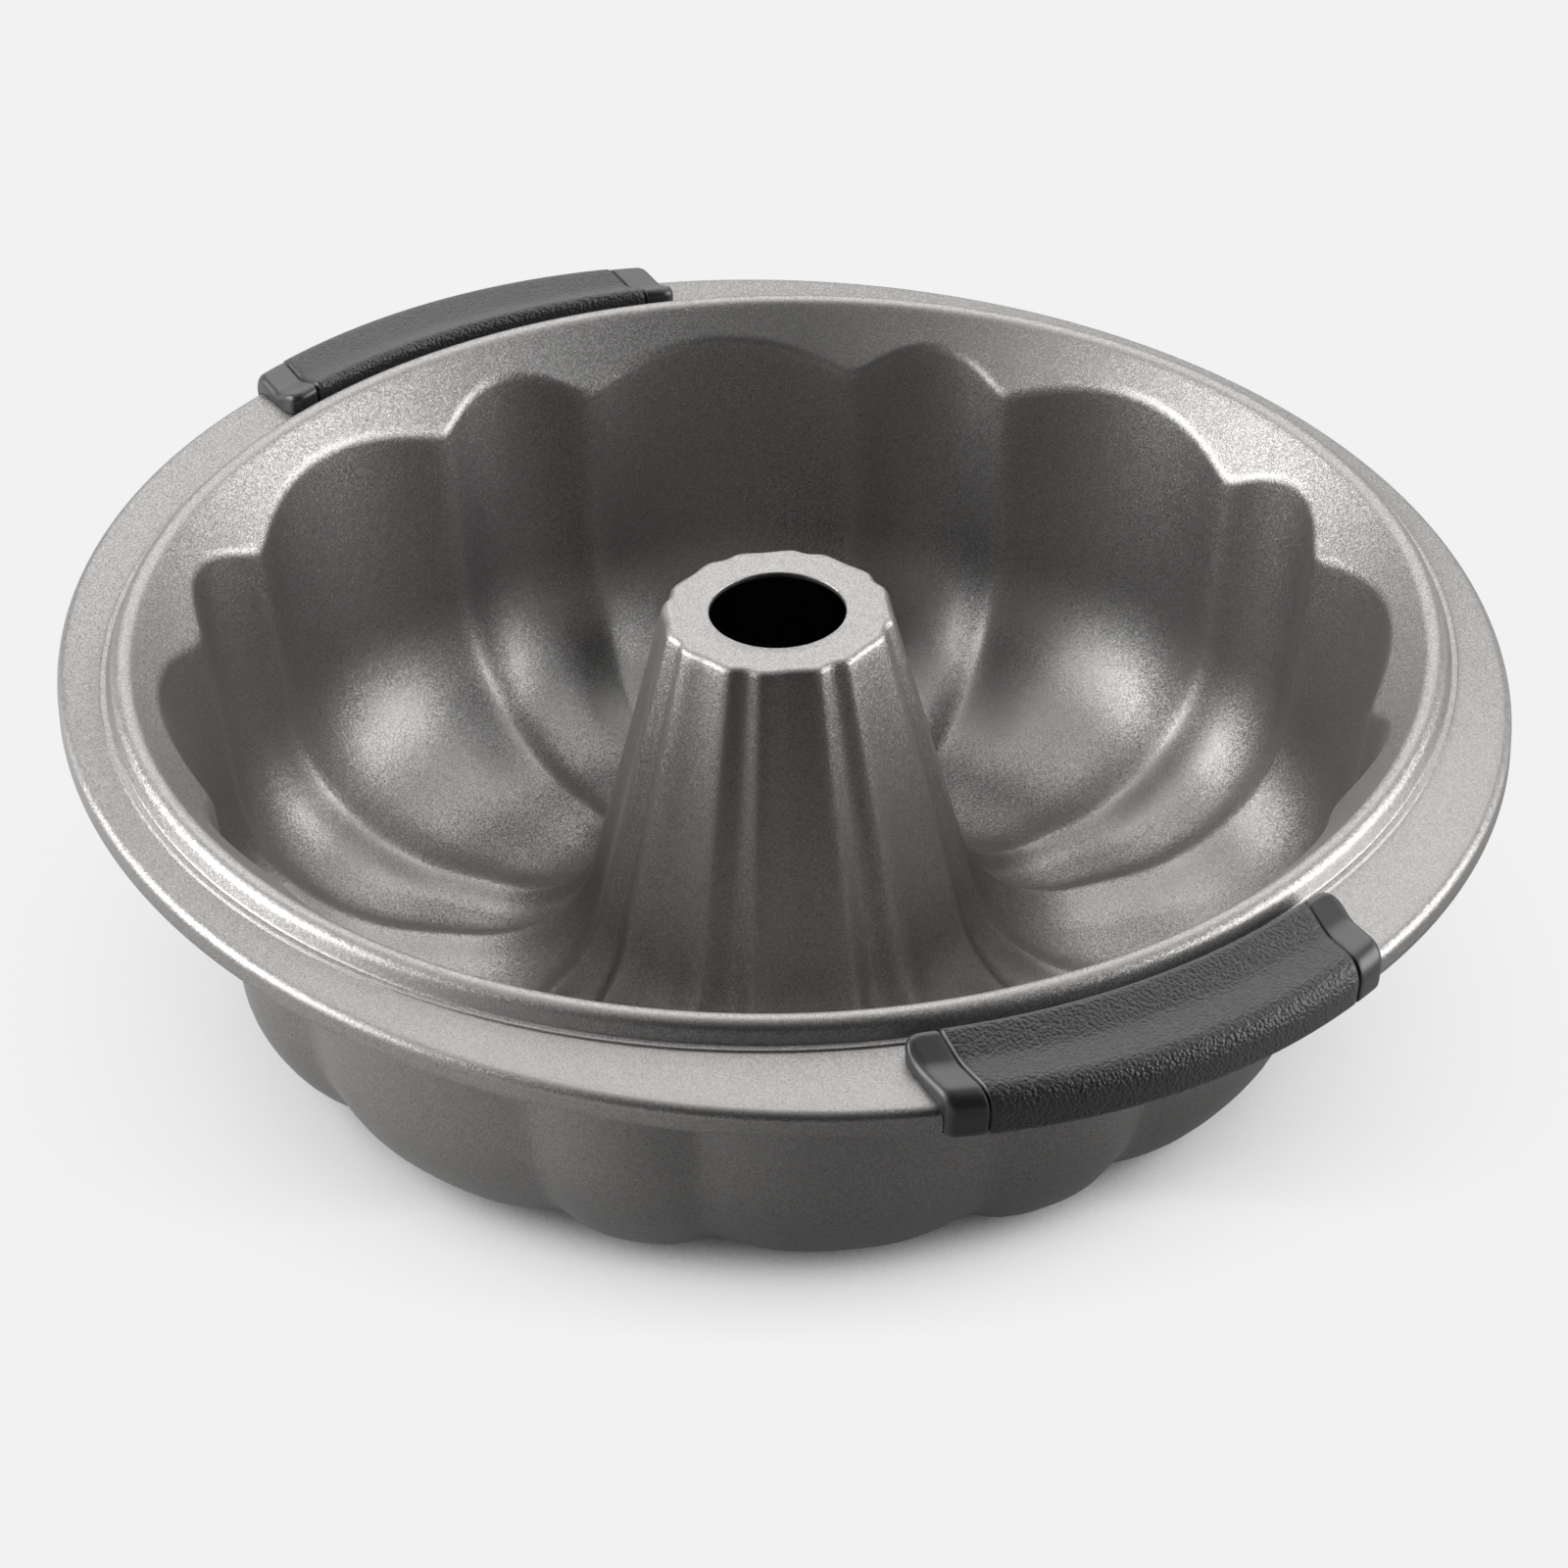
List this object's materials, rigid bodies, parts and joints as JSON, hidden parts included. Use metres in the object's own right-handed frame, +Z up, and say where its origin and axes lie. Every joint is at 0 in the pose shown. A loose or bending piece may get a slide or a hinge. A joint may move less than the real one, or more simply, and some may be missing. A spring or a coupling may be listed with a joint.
{
  "type": "fluted tube pan",
  "caption": "Fluted ring-shaped baking pan with a hollow tapered centre tube, a wide oval flange around its bead and soft grips over the ends of the rim.",
  "frame": {"origin": "on the table, under the middle of the centre tube", "axes": "+Z up along the tube, +X through the middle of the front grip, +Y to the left when looking out along +X"},
  "size_m": [0.2914, 0.2624, 0.0826],
  "materials": {
    "coated_steel": "warm grey metallic non-stick coating, satin with a fine sparkle",
    "silicone": "dark grey silicone, leather-grained on the panels and smooth matt on the end caps"
  },
  "bodies": {
    "root": {"pan_shell": "coated_steel", "front_grip": "silicone", "rear_grip": "silicone"}
  },
  "joints": []
}
